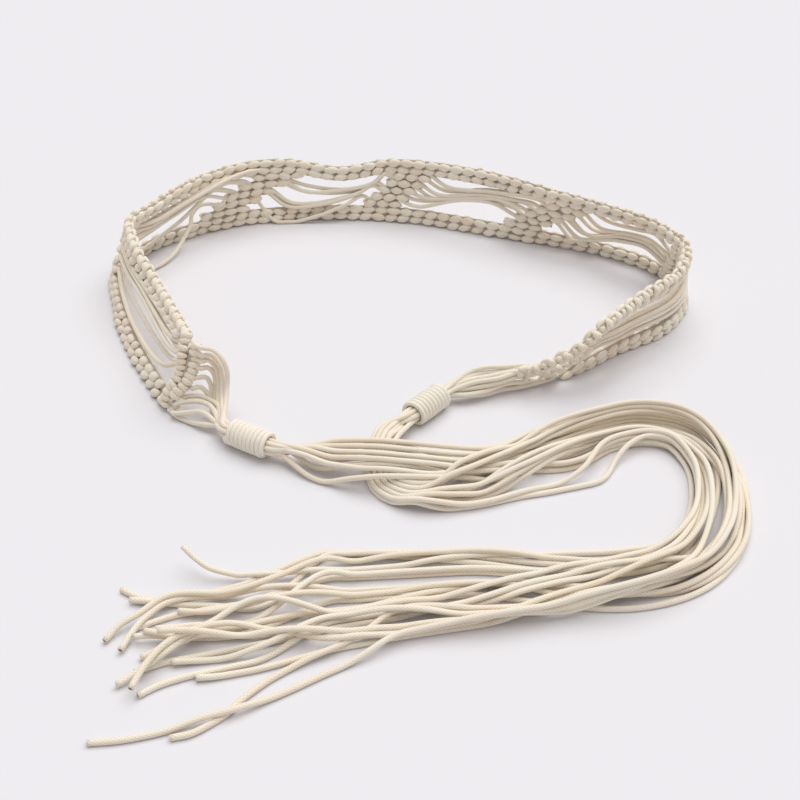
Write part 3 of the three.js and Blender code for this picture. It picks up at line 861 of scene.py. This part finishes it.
rightCords = [
    {"lanes": (-0.9, -0.7, -0.8), "stray": (0.25, -1.1, 1.15), "last": [
        (-53.0, -172.0), (-76.2, -174.6), (-82.5, -178.3), (-89.2, -179.8), (-97.0, -183.0),
    ]},
    {"lanes": (-0.7, -0.9, -0.9), "stray": (-0.15, -0.5, 0.75), "last": [
        (-53.0, -159.0), (-71.1, -169.3), (-86.1, -183.8), (-93.5, -189.6), (-103.5, -196.7),
    ]},
    {"lanes": (-0.5, -0.3, -0.6), "last": [
        (-52.0, -176.0), (-75.0, -182.0), (-88.0, -185.4), (-98.2, -190.0),
    ]},
    {"lanes": (-0.3, -0.5, -0.3), "last": [
        (-60.0, -170.0), (-84.0, -180.0), (-92.0, -190.0), (-96.6, -201.6),
    ]},
    {"lanes": (-0.1, 0.1, 0.0), "last": [
        (-50.4, -183.8), (-60.0, -187.0), (-78.9, -192.5), (-88.2, -196.7), (-94.5, -201.2),
    ]},
    {"lanes": (0.1, -0.1, -0.1), "last": [
        (-48.0, -180.0), (-70.0, -184.0), (-84.0, -186.0),
    ]},
    {"lanes": (0.3, 0.5, 0.2), "last": [
        (-49.9, -188.2), (-59.6, -190.6), (-67.7, -192.5), (-73.8, -193.2),
    ]},
    {"lanes": (0.5, 0.3, 0.45), "last": [
        (-44.0, -176.0), (-62.0, -178.0), (-80.0, -178.0), (-90.0, -178.0),
    ]},
    {"lanes": (0.7, 0.9, -0.3), "last": [
        (4, -162), (-10, -171.5), (-19, -178), (-33, -185), (-45, -193), (-56, -204), (-60, -209.5),
        (-66.5, -215), (-72, -218.5), (-79, -220.3),
    ]},
    {"lanes": (0.9, 0.7, 0.35), "last": [
        (4, -174), (-9, -182), (-25, -191), (-40, -200), (-58, -209.5), (-71, -213.7), (-82.5, -217.7),
        (-96.6, -221.2), (-108.5, -222.4),
    ]},
]
tassel = {
    "laneFrom": 6,  # from the start of the route to the first place on a lane
    "drift": 0.28,  # how far a cord strays from its lane, in half widths
    "driftLength": 90,
    "driftFrom": 60,  # how far from the wrap it starts to stray
    "driftGrows": 90,
    "ownWay": 22,  # how far before its own last places it leaves its lane
    "settling": 34,  # from the wrap until the cords lie as they fall
    "under": 84,  # how much of the right tassel, from its wrap on, the left one lies on
    "arch": 55,  # radius of the arch that a cord makes over another
    "lift": 45,  # length of a lifted tip
    "nestle": 0.95,  # how closely cords bed on one another
    "join": 16,  # over which a height carries on into the next stretch
    "softness": 3.5,  # of the heights along a cord
    "step": 2.0,
}


# A cord's line in plan: out of its wrap, along its lane and on to its own end
def tasselPlan(lead, ends, side, cord, number):
    rows = [*lead, *joined]
    at = np.linspace(0, len(rows) - 1, 16 * len(rows))
    plan = through([(row["x"], row["y"]) for row in rows], at)
    form = through([(row["spread"], row["slide"]) for row in rows], at, False)
    along = lengthsAlong(plan)
    way = unit(np.gradient(plan, axis=0))
    changes = [1, len(lead), len(lead) + 4, len(lead) + 10]
    lane = np.interp(at, changes, [cord["lanes"][k] for k in (0, 1, 1, 2)])
    grown = easing((along - tassel["driftFrom"]) / tassel["driftGrows"])
    lane = lane + tassel["drift"] * wave(along, tassel["driftLength"], 500 + number) * grown
    row, much, reach = cord.get("stray", (0, 0, 1))
    lane = lane + much * np.exp(-((at - len(lead) - row) / reach) ** 2)
    offset = form[:, 0] * (lane + ((lane + side) / 2 - lane) * np.clip(form[:, 1], 0, 1))
    spots = plan + np.stack([-way[:, 1], way[:, 0]], 1) * offset[:, None]
    ownEnd = np.array([place[:2] for place in cord["last"]])
    inRun = at > len(lead) + 8
    onOwnWay = inRun & (spots[:, 0] < ownEnd[0, 0] + tassel["ownWay"])
    spots = spots[(along > tassel["laneFrom"]) & ~onOwnWay][::5]
    start, out, across = wrapFrame(ends)
    inWrap = [(start + out * d + across * packing[number % 10][0])[:2] for d in (
        wrap["length"] / 2 + 0.2, wrap["length"] - 4, wrap["length"] + 2)]
    return smoothLine(np.vstack([inWrap, spots, ownEnd]), tassel["step"])


def heightsOver(plan, laid):
    lowest = np.full(len(plan), cordRadius)
    reach = 2 * cordRadius * tassel["nestle"]
    if len(laid):
        tree = KDTree(len(laid))
        for k, place in enumerate(laid):
            tree.insert((place[0], place[1], 0), k)
        tree.balance()
        for k, place in enumerate(plan):
            for _, other, far in tree.find_range((place[0], place[1], 0), reach):
                lowest[k] = max(lowest[k], laid[other][2] + math.sqrt(reach**2 - far**2))
    gap = tassel["step"] * (np.arange(len(plan))[:, None] - np.arange(len(plan))[None])
    arched = (lowest[None] - gap**2 / (2 * tassel["arch"])).max(1)
    weights = np.exp(-0.5 * (np.arange(-4, 5) * tassel["step"] / tassel["softness"]) ** 2)
    padded = np.concatenate([np.full(4, arched[0]), arched, np.full(4, arched[-1])])
    return np.maximum(np.convolve(padded, weights / weights.sum(), "valid"), cordRadius)


def settleTassels():
    sides = ((leftCords, leftLead, leftWrapEnds, -1), (rightCords, rightLead, rightWrapEnds, 1))
    plans = [
        [tasselPlan(lead, ends, side, cord, 10 * k + j) for j, cord in enumerate(cords)]
        for k, (cords, lead, ends, side) in enumerate(sides)
    ]
    heights = [[np.zeros(len(plan)) for plan in one] for one in plans]
    split = round(tassel["under"] / tassel["step"])
    laid = np.zeros((0, 3))
    stages = [(1, 0, split), (0, 0, None), (1, split, None)]
    for k, first, last in stages:
        for j in [*range(0, 10, 2), *range(1, 10, 2)]:
            part = plans[k][j][first:last]
            z = heightsOver(part, laid)
            if first == 0:
                far = np.arange(len(part)) * tassel["step"] - wrap["length"] / 2
                inWrap = wrapAxis + packing[j][1]
                z = inWrap + (z - inWrap) * easing(far / tassel["settling"])
            else:
                past = np.arange(len(z)) * tassel["step"]
                z += (heights[k][j][first - 1] - z[0]) * (1 - easing(past / tassel["join"]))
            heights[k][j][first:last] = z
            laid = np.vstack([laid, np.column_stack([part, z])])
    return plans, heights


def addTassels():
    plans, heights = settleTassels()
    tops, spans = [], []
    sides = (("left", leftCords, leftWrapEnds), ("right", rightCords, rightWrapEnds))
    for k, (label, cords, ends) in enumerate(sides):
        chance = np.random.default_rng(700 + k)
        for j, cord in enumerate(cords):
            centres = np.column_stack([plans[k][j], heights[k][j]])
            if len(cord["last"][-1]) == 3:
                left = lengthsAlong(centres[::-1])[::-1]
                rise = (cord["last"][-1][2] - cordRadius) * np.clip(1 - left / tassel["lift"], 0, 1) ** 2
                centres[:, 2] = np.maximum(centres[:, 2], cordRadius + rise)
            strands = Strands()
            tint, start = chance.uniform(0, 1), chance.uniform(0, 9)
            roundCord(strands, centres, cordRadius, tint, cut=(False, True), start=start)
            name, node = f"{label}_tassel_cord_{j + 1}", f"{label}_tassel"
            piece = addPiece(name, strands, looseCotton, [node])
            [0.001 * v for v in (*ends["outlet"], wrapAxis)]
            tops.append(centres[:, 2].max())
            spans.append(lengthsAlong(centres)[-1])
    print(f"tassels made: top {max(tops):.1f} mm, cords {min(spans):.0f} to {max(spans):.0f} mm long")


addTassels()

# Floor and light

studio = {
    "floor": (0.755, 0.74, 0.765, 1),
    "floorRoughness": 0.9,
    "sky": (1.0, 0.99, 1.0, 1),
    "skyStrength": 0.48,
    "keyStrength": 2.2,
    "keyFrom": (0.2, 0.28, 1.0),
    "keyAngle": 65,  # degrees that the light spans, so that its shadows stay soft
}
floorMesh = bpy.data.meshes.new("floor")
floorMesh.from_pydata([(-6, -6, 0), (6, -6, 0), (6, 6, 0), (-6, 6, 0)], [], [(0, 1, 2, 3)])
floor = bpy.data.objects.new("floor", floorMesh)
bpy.context.scene.collection.objects.link(floor)
floorFinish = bpy.data.materials.new("floor")
floorFinish.use_nodes = True
floorShader = floorFinish.node_tree.nodes["Principled BSDF"]
floorShader.inputs["Base Color"].default_value = studio["floor"]
floorShader.inputs["Roughness"].default_value = studio["floorRoughness"]
floorMesh.materials.append(floorFinish)

world = bpy.data.worlds.new("studio")
bpy.context.scene.world = world
world.use_nodes = True
world.node_tree.nodes["Background"].inputs["Color"].default_value = studio["sky"]
world.node_tree.nodes["Background"].inputs["Strength"].default_value = studio["skyStrength"]
keyLight = bpy.data.objects.new("key_light", bpy.data.lights.new("key_light", "SUN"))
bpy.context.scene.collection.objects.link(keyLight)
keyLight.rotation_euler = (-Vector(studio["keyFrom"])).to_track_quat("-Z", "Y").to_euler()
keyLight.data.energy = studio["keyStrength"]
keyLight.data.angle = math.radians(studio["keyAngle"])
